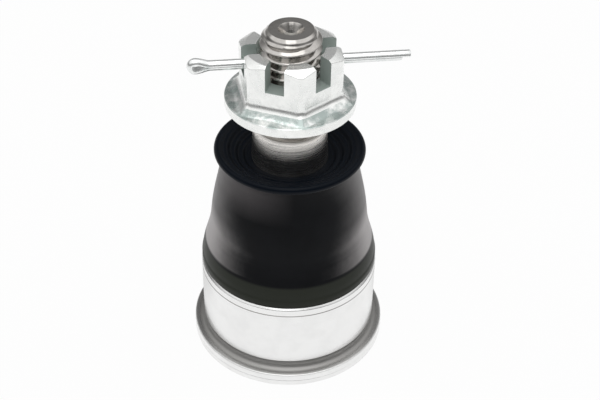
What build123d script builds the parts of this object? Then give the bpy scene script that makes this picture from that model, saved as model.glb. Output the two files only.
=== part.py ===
"""Press-in suspension ball joint with a dust boot, a flanged castle nut and a split pin.

Millimetres. The origin is the ball's centre, on the axis of the press-fit cylinder,
and +Z runs along the stud towards the nut. The split pin lies along X, eye at -X.
"""

import os
from math import cos, radians, tan

from build123d import *

# Clearances
FIT = 0.05  # parts that sit or run in one another
THREAD_FIT = 0.1
HOLE_CLEAR = 0.3
SOFT_FIT = 0.1
CUT = 100.0  # length of a cutter that passes right through
OVER = 1.0  # how far a cutter runs out of an open end

# Ball stud
BALL_R = 12.5
STUD_NECK_R = 6.8
STUD_NECK_TOP = 22.0  # where the neck starts to flare to the taper
TAPER_TOP_R = 8.9  # small end, at the shoulder
TAPER_LENGTH = 20.0
TAPER = 10.0  # one in ten on the diameter
SHOULDER_Z = 48.0
SHOULDER_ROUND = 0.5
THREAD_R = 7.15  # 9/16 in
UNDERCUT_R = THREAD_R - 1.1
UNDERCUT_H = 1.6
TOP_CHAMFER = 1.8
STUD_OVER = 4.4  # stud above the nut
CENTRE_R = 3.05  # turning centre in the stud's end
CENTRE_BORE_R = 1.2
CENTRE_DEPTH = 4.6
CENTRE_ANGLE = 60.0

# Bearings, preload washer and closing plate, from the ball down
SEAT_T = 3.0  # bearing wall beside the ball
SEAT_SPLIT = 0.4  # gap between the two bearing halves
SEAT_CUT = 0.4  # how far the ball's lowest point stands out of the lower bearing
UPPER_SEAT_TOP = 6.6
MOUTH_LEAN = 23.0  # stud's lean that the housing's mouth lets through
MOUTH_GAP = 0.6
WASHER_T = 0.8
WASHER_DISH = 0.7
WASHER_HOLE_R = 6.5
WASHER_GAP = 0.25  # under the washer's outer edge
PLATE_T = 2.0
PLATE_LAND = 1.9  # plate's edge beyond the bearing pocket
CRIMP_T = 0.5  # lip rolled over the plate
CRIMP_W = 1.0

# Socket housing
PRESS_R = 22.6  # cylinder pressed into the control arm
PRESS_H = 20.6  # flange seat to rim
FLANGE_R = PRESS_R + 2.5
FLANGE_T = 3.4
FLANGE_ROUND = 0.35
RELIEF_DEPTH = 0.5  # turned groove where the cylinder meets the flange
RELIEF_H = 2.7
SEAT_FILLET = 1.8
RIM_CHAMFER = 0.5
NECK_R = PRESS_R - 3.2  # hidden neck that the boot's base ring grips
NECK_H = 5.4

# Dust boot and its two rings
BOOT_WALL = 1.9
BAND_R = PRESS_R - 0.2  # base band on the housing rim
BAND_H = 2.2
BAND_STEP = 0.2
WAIST_R = BAND_R - 2.1  # crease between the flare and the skirt
WAIST_H = 8.1  # crease above the band
SKIRT_TOP_R = 17.0
LIP_R = SKIRT_TOP_R + 1.5
LIP_BEAD = 1.0
LIP_Z = 40.6  # centre of the lip's bead
DISH_DEPTH = 3.2  # lip's top down to the stud
COLLAR_T = 2.6
COLLAR_L = 7.0
BASE_RING_T = 0.9
BASE_RING_H = 4.2
NECK_RING_T = 1.1
NECK_RING_H = 3.4
NECK_RING_LIFT = 0.6  # ring above the collar's foot
SKIRT_FOOT_DIR = (-0.13, 0, 1)  # directions in which the boot's curved lines start and end
SKIRT_TOP_DIR = (-0.08, 0, 1)
DISH_LIP_DIR = (-1, 0, -0.45)
DISH_STUD_DIR = (-1, 0, -0.12)
LINING_TOP_DIR = (0.2, 0, -1)
LINING_FOOT_DIR = (0.1, 0, -1)

# Castle nut
NUT_Z = SHOULDER_Z + 5.8  # its underside
NUT_AF = 22.5
NUT_H = 15.1
NUT_FLANGE_R = 15.6
NUT_RIM_H = 2.4
NUT_RIM_BREAK = 0.3
NUT_FACE_FALL = 0.16  # fall of the flange's top per millimetre outwards
NUT_SKIRT_W = 1.9  # sloping skirt between the flange and the flats
NUT_SKIRT_H = 2.2
CROWN_TOP_R = 10.6
CROWN_ANGLE = 30.0
CROWN_BORE_R = 7.9
SLOT_W = 4.5
SLOT_DEPTH = 6.5
LEAD_W = 0.9  # lead-in of the thread, under the nut
LEAD_H = 1.6
NUT_TURN = 4.0  # how far the nut stands off square to the pin, in degrees

# Split pin
PIN_R = 1.2
PIN_LIFT = 2.4  # pin's axis above the slots' floor
PIN_LONG = 28.0
PIN_SHORT = 26.0
PIN_EYE_X = 24.0
PIN_EYE_HALF = 0.8  # inside half height of the eye
PIN_EYE_L = 4.6
PIN_LEG_GAP = 0.06

BEARING_FOOT = SEAT_CUT - BALL_R
WASHER_FOOT = BEARING_FOOT - FIT - WASHER_DISH - WASHER_T
PLATE_TOP = WASHER_FOOT - WASHER_GAP
PLATE_FOOT = PLATE_TOP - PLATE_T
BASE_Z = PLATE_FOOT - CRIMP_T
SEAT_Z = BASE_Z + FLANGE_T
RIM_Z = SEAT_Z + PRESS_H
NECK_TOP = RIM_Z + NECK_H
POCKET_R = BALL_R + SEAT_T + FIT
PLATE_R = POCKET_R + PLATE_LAND
COLLAR_FOOT = LIP_Z + LIP_BEAD - DISH_DEPTH - COLLAR_L
NUT_TOP = NUT_Z + NUT_H
SLOT_FLOOR = NUT_TOP - SLOT_DEPTH
PIN_Z = SLOT_FLOOR + PIN_LIFT
STUD_TOP_Z = NUT_TOP + STUD_OVER


def outline_turned(*edges):
    """Solid of revolution about Z from edges drawn in the XZ plane."""
    return revolve(make_face(Wire(list(edges))), Axis.Z)


def turned(*points):
    """Solid of revolution about Z from a closed outline of (radius, height)."""
    line = Polyline(*[(r, 0, z) for r, z in points], close=True)
    return revolve(make_face(line), Axis.Z)


def at(r, z):
    return (r, 0, z)


def stud_opening(z):
    """Radius that the stud's neck sweeps at height z when it leans to its limit."""
    lean = radians(MOUTH_LEAN)
    return STUD_NECK_R / cos(lean) + max(z, 0) * tan(lean) + MOUTH_GAP


def stud_radius(z):
    """Taper's radius at height z."""
    return TAPER_TOP_R + (SHOULDER_Z - z) / (2 * TAPER)


def socket_housing():
    """Flanged shell, bored from below, with a relief groove over the flange and a flared mouth."""
    relief_r = PRESS_R - RELIEF_DEPTH
    press_foot = SEAT_Z + RELIEF_H
    shell = turned(
        (0, BASE_Z),
        (FLANGE_R, BASE_Z),
        (FLANGE_R, SEAT_Z),
        (relief_r, SEAT_Z),
        (relief_r, press_foot - RELIEF_DEPTH),
        (PRESS_R, press_foot),
        (PRESS_R, RIM_Z),
        (NECK_R, RIM_Z),
        (NECK_R, NECK_TOP),
        (0, NECK_TOP),
    )
    edges = [near_ring(shell, FLANGE_R, BASE_Z), near_ring(shell, FLANGE_R, SEAT_Z)]
    shell = fillet(edges, FLANGE_ROUND)
    shell = fillet(near_ring(shell, relief_r, SEAT_Z), SEAT_FILLET)
    shell = chamfer(near_ring(shell, PRESS_R, RIM_Z), RIM_CHAMFER)
    return shell - housing_pocket()


def housing_pocket():
    """Space inside the housing: crimped foot, plate recess, bearing pocket and flared mouth."""
    roof = UPPER_SEAT_TOP + FIT
    crimp_r = PLATE_R + FIT - CRIMP_W
    return turned(
        (0, BASE_Z - OVER),
        (crimp_r, BASE_Z - OVER),
        (crimp_r, PLATE_FOOT - FIT),
        (PLATE_R + FIT, PLATE_FOOT - FIT),
        (PLATE_R + FIT, PLATE_TOP + FIT),
        (POCKET_R, PLATE_TOP + FIT),
        (POCKET_R, roof),
        (stud_opening(roof), roof),
        (stud_opening(NECK_TOP), NECK_TOP),
        (stud_opening(NECK_TOP), NECK_TOP + OVER),
        (0, NECK_TOP + OVER),
    )


def near_ring(shape, radius, height):
    """The circular edge of this radius at this height."""
    for edge in shape.edges().filter_by(GeomType.CIRCLE):
        if abs(edge.radius - radius) < 0.01 and abs(edge.center().Z - height) < 0.01:
            return edge
    raise ValueError("no such ring")


def upper_bearing():
    """Plastic ring that holds the ball down from its equator."""
    ring = turned(
        (0, SEAT_SPLIT / 2),
        (BALL_R + SEAT_T, SEAT_SPLIT / 2),
        (BALL_R + SEAT_T, UPPER_SEAT_TOP),
        (0, UPPER_SEAT_TOP),
    )
    mouth = Pos(0, 0, UPPER_SEAT_TOP) * Cylinder(stud_opening(UPPER_SEAT_TOP), 2 * OVER)
    return ring - Sphere(BALL_R + FIT) - mouth


def lower_bearing():
    """Plastic cup that carries the ball, open at its foot."""
    cup = turned(
        (0, BEARING_FOOT),
        (BALL_R + SEAT_T, BEARING_FOOT),
        (BALL_R + SEAT_T, -SEAT_SPLIT / 2),
        (0, -SEAT_SPLIT / 2),
    )
    return cup - Sphere(BALL_R + FIT)


def preload_washer():
    """Dished steel washer that presses the lower bearing up against the ball."""
    outer = BALL_R + SEAT_T - FIT
    return turned(
        (WASHER_HOLE_R, WASHER_FOOT + WASHER_DISH),
        (outer, WASHER_FOOT),
        (outer, WASHER_FOOT + WASHER_T),
        (WASHER_HOLE_R, WASHER_FOOT + WASHER_T + WASHER_DISH),
    )


def closing_plate():
    """Round plate that closes the socket under the crimped lip."""
    return Pos(0, 0, (PLATE_FOOT + PLATE_TOP) / 2) * Cylinder(PLATE_R, PLATE_T)


def ball_stud():
    """Ball, neck, tapered shank, shoulder and threaded end in one forging."""
    taper_foot = SHOULDER_Z - TAPER_LENGTH
    thread_foot = SHOULDER_Z + UNDERCUT_H
    shank = turned(
        (0, 0),
        (STUD_NECK_R, 0),
        (STUD_NECK_R, STUD_NECK_TOP),
        (stud_radius(taper_foot), taper_foot),
        (TAPER_TOP_R, SHOULDER_Z),
        (UNDERCUT_R, SHOULDER_Z),
        (UNDERCUT_R, thread_foot),
        (THREAD_R, thread_foot + (THREAD_R - UNDERCUT_R)),
        (THREAD_R, STUD_TOP_Z),
        (0, STUD_TOP_Z),
    )
    shank = fillet(near_ring(shank, TAPER_TOP_R, SHOULDER_Z), SHOULDER_ROUND)
    shank = chamfer(near_ring(shank, THREAD_R, STUD_TOP_Z), TOP_CHAMFER)
    stud = shank + Sphere(BALL_R)
    cross_hole = Pos(0, 0, PIN_Z) * Rot(0, 90, 0) * Cylinder(PIN_R + HOLE_CLEAR, CUT)
    return stud - cross_hole - turning_centre()


def turning_centre():
    """Conical centre with its pilot bore."""
    cone = (CENTRE_R - CENTRE_BORE_R) / tan(radians(CENTRE_ANGLE / 2))
    return turned(
        (0, STUD_TOP_Z - CENTRE_DEPTH),
        (CENTRE_BORE_R, STUD_TOP_Z - CENTRE_DEPTH),
        (CENTRE_BORE_R, STUD_TOP_Z - cone),
        (CENTRE_R, STUD_TOP_Z),
        (CENTRE_R, STUD_TOP_Z + OVER),
        (0, STUD_TOP_Z + OVER),
    )


def dust_boot():
    """Rubber boot, turned from its outer and inner lines."""
    foot = RIM_Z + SOFT_FIT
    under_lip = LIP_Z - LIP_BEAD
    contact = COLLAR_FOOT + COLLAR_L
    ring_r = NECK_R + FIT + BASE_RING_T + SOFT_FIT
    waist = foot + BAND_H + WAIST_H
    outer = boot_outside(ring_r, foot, waist, under_lip, contact)
    inner = boot_lining(ring_r, foot, waist, under_lip, contact)
    return outline_turned(*outer, *inner)


def boot_outside(ring_r, foot, waist, under_lip, contact):
    """Base band, flare, skirt, beaded lip and dished top, down to the stud."""
    band_top = foot + BAND_H
    flare = at(BAND_R - BAND_STEP, band_top + BAND_STEP)
    lip_top = LIP_Z + LIP_BEAD
    bead_r = LIP_R - LIP_BEAD
    return [
        Line(at(ring_r, foot), at(BAND_R, foot)),
        Line(at(BAND_R, foot), at(BAND_R, band_top)),
        Line(at(BAND_R, band_top), flare),
        Line(flare, at(WAIST_R, waist)),
        Spline(
            at(WAIST_R, waist),
            at(SKIRT_TOP_R, under_lip),
            tangents=[SKIRT_FOOT_DIR, SKIRT_TOP_DIR],
        ),
        Line(at(SKIRT_TOP_R, under_lip), at(bead_r, under_lip)),
        ThreePointArc(at(bead_r, under_lip), at(LIP_R, LIP_Z), at(bead_r, lip_top)),
        Spline(
            at(bead_r, lip_top),
            at(stud_radius(contact) + FIT, contact),
            tangents=[DISH_LIP_DIR, DISH_STUD_DIR],
        ),
    ]


def boot_lining(ring_r, foot, waist, under_lip, contact):
    """Collar along the stud's taper, then the roof and the inside of the skirt."""
    collar_r = stud_radius(COLLAR_FOOT) + COLLAR_T
    roof = at(SKIRT_TOP_R - BOOT_WALL, under_lip - BOOT_WALL / 2)
    ring_top = foot + BASE_RING_H + SOFT_FIT
    grip_top = at(stud_radius(contact) + FIT, contact)
    grip_foot = at(stud_radius(COLLAR_FOOT) + FIT, COLLAR_FOOT)
    return [
        Line(grip_top, grip_foot),
        Line(grip_foot, at(collar_r, COLLAR_FOOT)),
        Line(at(collar_r, COLLAR_FOOT), at(collar_r, contact - BOOT_WALL)),
        Line(at(collar_r, contact - BOOT_WALL), roof),
        Spline(
            roof,
            at(WAIST_R - BOOT_WALL, waist),
            at(ring_r, ring_top),
            tangents=[LINING_TOP_DIR, LINING_FOOT_DIR],
        ),
        Line(at(ring_r, ring_top), at(ring_r, foot)),
    ]


def boot_base_ring():
    """Pressed steel ring inside the boot's base, gripping the housing's neck."""
    low = RIM_Z + FIT
    inner = NECK_R + FIT
    return turned(
        (inner, low),
        (inner + BASE_RING_T, low),
        (inner + BASE_RING_T, low + BASE_RING_H),
        (inner, low + BASE_RING_H),
    )


def boot_neck_ring():
    """Spring band round the boot's collar, inside the boot."""
    inner = stud_radius(COLLAR_FOOT) + COLLAR_T + SOFT_FIT
    low = COLLAR_FOOT + NECK_RING_LIFT
    return turned(
        (inner, low),
        (inner + NECK_RING_T, low),
        (inner + NECK_RING_T, low + NECK_RING_H),
        (inner, low + NECK_RING_H),
    )


def hexagon(apothem, height):
    """Hexagon across the flats at this height, one flat facing +X."""
    return Pos(0, 0, height) * RegularPolygon(apothem, 6, major_radius=False)


def nut_body():
    """Hexagon whose top corners fall away in a cone."""
    drop = (NUT_AF - CROWN_TOP_R) * tan(radians(CROWN_ANGLE))
    crown = turned(
        (0, NUT_Z),
        (NUT_AF, NUT_Z),
        (NUT_AF, NUT_TOP - drop),
        (CROWN_TOP_R, NUT_TOP),
        (0, NUT_TOP),
    )
    return extrude(hexagon(NUT_AF / 2, NUT_Z), NUT_H) & crown


def nut_flange():
    """Round flange with a gently sloping top, and the skirt that leads up to the flats."""
    rim_top = NUT_Z + NUT_RIM_H
    disc = turned(
        (0, NUT_Z),
        (NUT_FLANGE_R - NUT_RIM_BREAK, NUT_Z),
        (NUT_FLANGE_R, NUT_Z + NUT_RIM_BREAK),
        (NUT_FLANGE_R, rim_top - NUT_RIM_BREAK),
        (NUT_FLANGE_R - NUT_RIM_BREAK, rim_top),
        (NUT_AF / 2, rim_top + NUT_FACE_FALL * (NUT_FLANGE_R - NUT_AF / 2)),
        (0, rim_top + NUT_FACE_FALL * (NUT_FLANGE_R - NUT_AF / 2)),
    )
    wide = hexagon(NUT_AF / 2 + NUT_SKIRT_W, rim_top)
    narrow = hexagon(NUT_AF / 2, rim_top + NUT_SKIRT_H)
    return disc + loft([wide, narrow], ruled=True)


def castle_nut():
    """Hexagon nut with a flange and six slots across its crown."""
    bore = Pos(0, 0, NUT_Z) * Cylinder(THREAD_R + THREAD_FIT, CUT)
    crown_bore = Pos(0, 0, NUT_TOP) * Cylinder(CROWN_BORE_R, 2 * SLOT_DEPTH)
    lead = Pos(0, 0, NUT_Z) * Cone(THREAD_R + LEAD_W, THREAD_R, LEAD_H)
    nut = nut_body() + nut_flange() - bore - crown_bore - lead
    for turn in (0, 60, 120):
        nut -= Rot(0, 0, turn) * Pos(0, 0, NUT_TOP) * Box(CUT, SLOT_W, 2 * SLOT_DEPTH)
    return Rot(0, 0, NUT_TURN) * nut


def cotter_pin():
    """Half-round wire folded into two legs with an eye, unbent."""
    gap = PIN_LEG_GAP / 2
    eye = PIN_EYE_HALF
    bend_x = -(PIN_EYE_X - PIN_R - eye)
    leg_x = -(PIN_EYE_X - PIN_EYE_L - eye)
    path = Wire(
        [
            Line(at(PIN_LONG, gap), at(leg_x, gap)),
            Spline(at(leg_x, gap), at(bend_x, eye), tangents=[(-1, 0, 0), (-1, 0, 0)]),
            ThreePointArc(at(bend_x, eye), at(bend_x - eye, 0), at(bend_x, -eye)),
            Spline(at(bend_x, -eye), at(leg_x, -gap), tangents=[(1, 0, 0), (1, 0, 0)]),
            Line(at(leg_x, -gap), at(PIN_SHORT, -gap)),
        ]
    )
    disc = Plane(origin=at(PIN_LONG, gap), x_dir=(0, 1, 0), z_dir=(-1, 0, 0)) * Circle(PIN_R)
    upper = Plane(origin=at(PIN_LONG, gap + PIN_R), x_dir=(0, 1, 0), z_dir=(-1, 0, 0))
    section = disc & (upper * Rectangle(CUT, 2 * PIN_R))
    pin = sweep(section, path=path)
    return Pos(0, 0, PIN_Z) * pin


PIECES = {
    "socket_housing": socket_housing,
    "upper_bearing": upper_bearing,
    "lower_bearing": lower_bearing,
    "preload_washer": preload_washer,
    "closing_plate": closing_plate,
    "ball_stud": ball_stud,
    "dust_boot": dust_boot,
    "boot_base_ring": boot_base_ring,
    "boot_neck_ring": boot_neck_ring,
    "castle_nut": castle_nut,
    "cotter_pin": cotter_pin,
}

os.makedirs("parts", exist_ok=True)
for name, make in PIECES.items():
    export_step(make(), f"parts/{name}.step")
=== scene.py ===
"""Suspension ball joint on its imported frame: steel socket, rubber boot, stud, castle nut and split pin."""

import bmesh
import bpy
import numpy as np
from mathutils import Matrix, Vector


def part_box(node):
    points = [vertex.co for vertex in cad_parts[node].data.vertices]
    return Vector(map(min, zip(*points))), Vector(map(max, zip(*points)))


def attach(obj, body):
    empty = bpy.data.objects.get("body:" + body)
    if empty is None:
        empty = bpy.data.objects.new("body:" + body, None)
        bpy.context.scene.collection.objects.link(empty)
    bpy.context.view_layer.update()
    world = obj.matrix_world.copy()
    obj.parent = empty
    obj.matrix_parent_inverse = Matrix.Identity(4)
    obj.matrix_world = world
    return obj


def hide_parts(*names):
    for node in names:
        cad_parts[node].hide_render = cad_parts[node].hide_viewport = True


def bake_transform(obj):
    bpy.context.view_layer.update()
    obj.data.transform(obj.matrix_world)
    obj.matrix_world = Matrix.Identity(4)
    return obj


MM = 0.001
TURN = 2 * np.pi
X, Y, Z = range(3)

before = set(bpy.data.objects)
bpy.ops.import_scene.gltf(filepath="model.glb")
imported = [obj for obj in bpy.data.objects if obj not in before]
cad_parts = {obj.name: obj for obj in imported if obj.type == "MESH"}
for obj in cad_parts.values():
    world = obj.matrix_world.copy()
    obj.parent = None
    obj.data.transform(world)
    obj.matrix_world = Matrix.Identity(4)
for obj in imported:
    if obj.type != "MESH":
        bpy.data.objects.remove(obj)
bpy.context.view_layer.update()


def extent(node_name):
    """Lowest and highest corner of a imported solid, in millimetres to the nearest tenth."""
    return [[round(value / MM, 1) for value in corner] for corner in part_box(node_name)]


# Sizes in millimetres: each piece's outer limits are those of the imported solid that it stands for

socket_low, socket_high = extent("socket_housing")
BASE_Z, NECK_TOP_Z, FLANGE_R = socket_low[Z], socket_high[Z], socket_high[X]
PRESS_R, NECK_R, SEAT_Z, RIM_Z = FLANGE_R - 2.5, FLANGE_R - 5.7, BASE_Z + 3.4, NECK_TOP_Z - 5.4
SEAT_FILLET, GROOVE_R, GROOVE_TOP_Z = 1.8, PRESS_R - 0.5, SEAT_Z + 2.2
FOOT_LINE_Z, FOOT_LINE_STEP = BASE_Z + 1.5, 0.05
RIM_LINE_Z, RIM_LINE_DEPTH = RIM_Z - 2.32, 0.09
MOUTH_R, MOUTH_FLARE_R = 10.8, 13.5
POCKET_R, POCKET_TOP_Z, POCKET_FOOT_Z = 15.55, 6.65, -13.85
PLATE_R, PLATE_FOOT_Z, CRIMP_R = 17.5, BASE_Z + 0.45, 16.5

stud_low, stud_high = extent("ball_stud")
BALL_R, STUD_TOP_Z, STUD_NECK_R = -stud_low[Z], stud_high[Z], 6.8
SHOULDER_Z, TAPER_TOP_R, TAPER_FOOT_Z, TAPER = 48.0, 8.9, 28.0, 0.05
THREAD_R, THREAD_FOOT_Z, UNDERCUT_R = 7.2, 50.7, 6.05
THREAD_START_Z = THREAD_FOOT_Z - 0.9
THREAD_PITCH, THREAD_DEPTH, THREAD_LIFT, THREAD_FLAT = 2.15, 1.4, 0.86, 0.11
END_DOWN, END_R, END_BLEND = (0.0, 0.6, 1.15, 2.3), (5.25, 5.85, 6.17, 7.35), 0.24
CENTRE_R, CENTRE_BORE_R, CENTRE_DEPTH = 3.05, 1.2, 4.6

boot_low, boot_high = extent("dust_boot")
BOOT_FOOT_Z, BAND_R, LIP_BEAD, LIP_R = boot_low[Z], boot_high[X], 1.0, 18.5
BAND_TOP_Z, LIP_Z = BOOT_FOOT_Z + 2.2, boot_high[Z] - LIP_BEAD
CREASE_Z, CREASE_R, BLEND_FOOT_Z, BOOT_SEAM_Z = 13.9, 21.4, 10.5, 21.0
CONTACT_Z, COLLAR_FOOT_Z, COLLAR_WALL, COLLAR_GAP = 38.4, 31.4, 2.6, 0.05
BOOT_INNER_R = 20.5
RING_HEIGHT, RING_PITCH, RING_START_R = 0.2, 1.9, 9.2
RINGS_FROM_R, RINGS_TO_R, DISH_POWER = 10.2, 16.9, 1.25

nut_low, nut_high = extent("castle_nut")
NUT_Z, NUT_TOP_Z, NUT_FLANGE_R = nut_low[Z], nut_high[Z], nut_high[X]
NUT_APOTHEM, NUT_CORNER_R, NUT_BORE_R, NUT_TURN = 11.25, 12.62, 7.25, 4.0
FLANGE_TOP_Z, FLANGE_FALL = NUT_Z + 2.4, 0.16
SKIRT_W, SKIRT_H, CORNER_SOFT = 1.9, 2.2, 0.06
CROWN_TOP_R, CROWN_BORE_R, CROWN_FALL = 10.6, 7.9, np.tan(np.radians(30))
SLOT_HALF, SLOT_FLOOR_Z, SLOT_EDGE, SLOT_FILLET = 2.25, 62.4, 0.07, 0.3
BEVEL, BORE_ROW_Z = 0.12, (56.0, 59.0)

pin_low, pin_high = extent("cotter_pin")
PIN_R, PIN_Z, PIN_LONG, PIN_EYE_X = pin_high[Y], (pin_low[Z] + pin_high[Z]) / 2, pin_high[X], -pin_low[X]
PIN_SHORT, PIN_EYE_HALF, PIN_EYE_L, PIN_GAP = PIN_LONG - 2.0, 0.8, 4.6, 0.03
PIN_HOLE_R = PIN_R + 0.3

MERGE_WITHIN, SLIVER_UNDER = 4e-6, 2e-7  # metres


# Surfaces

def quads(rows, cols, wrap_rows, wrap_cols):
    """Four-sided faces of a grid of points: each joins a point to the next one along both directions."""
    r = np.arange(rows if wrap_rows else rows - 1)
    c = np.arange(cols if wrap_cols else cols - 1)
    i, j = np.meshgrid(r, c, indexing="ij")
    k, m = (i + 1) % rows, (j + 1) % cols
    return np.stack([i * cols + j, i * cols + m, k * cols + m, k * cols + j], -1).reshape(-1, 4)


def solid(name, patches, material, sharp=32.0):
    """One closed mesh from grids of points in millimetres: coincident points merge, then faces turn outwards.
    A patch is (grid, rows join up, columns join up); an edge sharper than so many degrees stays sharp."""
    points, faces, count = [], [], 0
    for grid, wrap_rows, wrap_cols in patches:
        rows, cols = grid.shape[:2]
        points.append(grid.reshape(-1, 3))
        faces.append(quads(rows, cols, wrap_rows, wrap_cols) + count)
        count += rows * cols
    mesh = bpy.data.meshes.new(name)
    mesh.from_pydata((np.concatenate(points) * MM).tolist(), [], np.concatenate(faces).tolist())
    work = bmesh.new()
    work.from_mesh(mesh)
    bmesh.ops.remove_doubles(work, verts=work.verts, dist=MERGE_WITHIN)
    bmesh.ops.dissolve_degenerate(work, edges=work.edges, dist=SLIVER_UNDER)
    bmesh.ops.recalc_face_normals(work, faces=work.faces)
    work.to_mesh(mesh)
    work.free()
    mesh.shade_smooth()
    mesh.set_sharp_from_angle(angle=np.radians(sharp))
    mesh.materials.append(material)
    piece = bpy.data.objects.new(name, mesh)
    bpy.context.scene.collection.objects.link(piece)
    return piece


def round_z(r, z, a):
    """Points at radius r, height z and angle a round Z: x = r cos a, y = r sin a."""
    return np.stack([r * np.cos(a), r * np.sin(a), z + 0 * a], -1)


def turned(profile, steps=192):
    """Points of a profile of (radius, height) carried round Z."""
    profile = np.asarray(profile, float)
    a = np.linspace(0, TURN, steps, endpoint=False)[:, None]
    return round_z(profile[None, :, 0], profile[None, :, 1], a)


def rounded(corners, n):
    """Closed outline from corners of (radius, height, fillet). A fillet is a quadratic Bezier arc of n points
    that starts and ends its own length from the corner, along the two sides."""
    c = np.asarray(corners, float)
    p, fillet = c[:, :2], c[:, 2:3]
    before, after = np.roll(p, 1, 0) - p, np.roll(p, -1, 0) - p
    start = p + before / np.linalg.norm(before, axis=1, keepdims=True) * fillet
    end = p + after / np.linalg.norm(after, axis=1, keepdims=True) * fillet
    t = np.linspace(0, 1, n)[None, :, None]
    arc = (1 - t) ** 2 * start[:, None] + 2 * t * (1 - t) * p[:, None] + t**2 * end[:, None]
    return arc.reshape(-1, 2)


def split_runs(profile, longest):
    """The same closed outline with its long runs divided, so that no step is longer than asked."""
    parts = []
    for start, end in zip(profile, np.roll(profile, -1, 0)):
        n = max(1, int(np.ceil(np.linalg.norm(end - start) / longest)))
        parts.append(start + (end - start) * np.linspace(0, 1, n, endpoint=False)[:, None])
    return np.concatenate(parts)


def through(points, n):
    """Smooth line through points: cubic Hermite pieces, each slope half the difference of the neighbours."""
    p = np.asarray(points, float)
    slope = np.gradient(p, axis=0)
    s = np.linspace(0, len(p) - 1, n)
    i = np.minimum(s.astype(int), len(p) - 2)
    t = (s - i)[:, None]
    from_start, off_start = 2 * t**3 - 3 * t**2 + 1, t**3 - 2 * t**2 + t
    from_end, off_end = -2 * t**3 + 3 * t**2, t**3 - t**2
    return from_start * p[i] + off_start * slope[i] + from_end * p[i + 1] + off_end * slope[i + 1]


def bezier(corners, n):
    """Radii and heights of n points on a quadratic Bezier arc: (1-t)^2 first + 2t(1-t) middle + t^2 last.
    A corner is (radius, height), each one number or one per column."""
    t = np.linspace(0, 1, n)[:, None]
    weights = ((1 - t) ** 2, 2 * t * (1 - t), t**2)
    return [sum(weight * corner[i] for weight, corner in zip(weights, corners)) for i in range(2)]


# Socket

def socket_grid():
    """Section of the socket carried round Z: foot with a fine step, flange, concave seat fillet that is a
    quarter circle, relief groove, press cylinder with a fine line under its rim, neck, flared mouth, pocket
    and plate seat."""
    arc = np.linspace(np.pi / 2, 0, 12)
    seat_r, seat_z = GROOVE_R + SEAT_FILLET * (1 - np.cos(arc)), SEAT_Z + SEAT_FILLET * (1 - np.sin(arc))
    upper_r, line_r = FLANGE_R - FOOT_LINE_STEP, PRESS_R - RIM_LINE_DEPTH
    flange = [(FLANGE_R, BASE_Z, 0.3), (FLANGE_R, FOOT_LINE_Z, 0.05)]
    flange += [(upper_r, FOOT_LINE_Z + 0.08, 0.05), (upper_r, SEAT_Z, 0.3)]
    seat = [(r, z, 0.0) for r, z in zip(seat_r, seat_z)]
    press = [(GROOVE_R, GROOVE_TOP_Z, 0.12), (PRESS_R, GROOVE_TOP_Z + 0.5, 0.12)]
    press += [(PRESS_R, RIM_LINE_Z - 0.13, 0.03), (line_r, RIM_LINE_Z - 0.06, 0.03)]
    press += [(line_r, RIM_LINE_Z + 0.06, 0.03), (PRESS_R, RIM_LINE_Z + 0.13, 0.03)]
    press += [(PRESS_R, RIM_Z - 0.5, 0.12), (PRESS_R - 0.5, RIM_Z, 0.1)]
    neck = [(NECK_R, RIM_Z, 0.0), (NECK_R, NECK_TOP_Z, 0.3)]
    mouth = [(MOUTH_FLARE_R, NECK_TOP_Z, 0.2), (MOUTH_R, POCKET_TOP_Z, 0.0)]
    pocket = [(POCKET_R, POCKET_TOP_Z, 0.0), (POCKET_R, POCKET_FOOT_Z, 0.0)]
    plate_seat = [(PLATE_R, POCKET_FOOT_Z, 0.0), (PLATE_R, PLATE_FOOT_Z, 0.0)]
    plate_seat += [(CRIMP_R, PLATE_FOOT_Z, 0.0), (CRIMP_R, BASE_Z, 0.25)]
    corners = flange + seat + press + neck + mouth + pocket + plate_seat
    return turned(split_runs(rounded(corners, n=5), longest=3.0), steps=256)


# Stud

THREAD_COLS, ROWS_PER_PITCH = 160, 20


def taper_radius(z):
    """Taper's radius at height z: it grows evenly downwards from the shoulder."""
    return TAPER_TOP_R + (SHOULDER_Z - z) * TAPER


def thread_radius(z, a):
    """Radius of the threaded end: crest and root, each with a flat share of the pitch, along a helix. The
    rolled end cuts it down through a soft minimum, and the undercut's 45 degree slope through a plain one."""
    phase = ((z - THREAD_LIFT) / THREAD_PITCH - a / TURN) % 1.0
    down = np.clip(np.abs(2 * phase - 1) * (1 + 2 * THREAD_FLAT) - THREAD_FLAT, 0, 1)
    thread = THREAD_R - THREAD_DEPTH * down
    end = np.interp(STUD_TOP_Z - z, END_DOWN, END_R)
    share = np.clip(0.5 + (end - thread) / END_BLEND, 0, 1)
    r = end * (1 - share) + thread * share - END_BLEND / 2 * share * (1 - share)
    return np.minimum(r, UNDERCUT_R + z - THREAD_START_Z)


def thread_grid():
    """Rows that climb one pitch per turn, each point's radius taken from its height and angle. Heights stop
    at both ends of the thread."""
    rows = int((STUD_TOP_Z - THREAD_START_Z) / THREAD_PITCH + 2) * ROWS_PER_PITCH
    a = np.linspace(0, TURN, THREAD_COLS + 1)[None]
    row_z = THREAD_START_Z - THREAD_PITCH + np.arange(rows)[:, None] * THREAD_PITCH / ROWS_PER_PITCH
    z = np.clip(row_z + THREAD_PITCH * a / TURN, THREAD_START_Z, STUD_TOP_Z)
    return round_z(thread_radius(z, a), z, a)


def thread_to_profile(rim_z, profile):
    """Points that lead from the thread's wavy rim at one height to a profile carried round Z."""
    a = np.linspace(0, TURN, THREAD_COLS + 1)[None]
    profile = np.asarray(profile, float)
    r = np.concatenate([thread_radius(rim_z + 0 * a, a), profile[:, :1] + 0 * a])
    z = np.concatenate([rim_z + 0 * a, profile[:, 1:] + 0 * a])
    return round_z(r, z, a)


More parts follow.
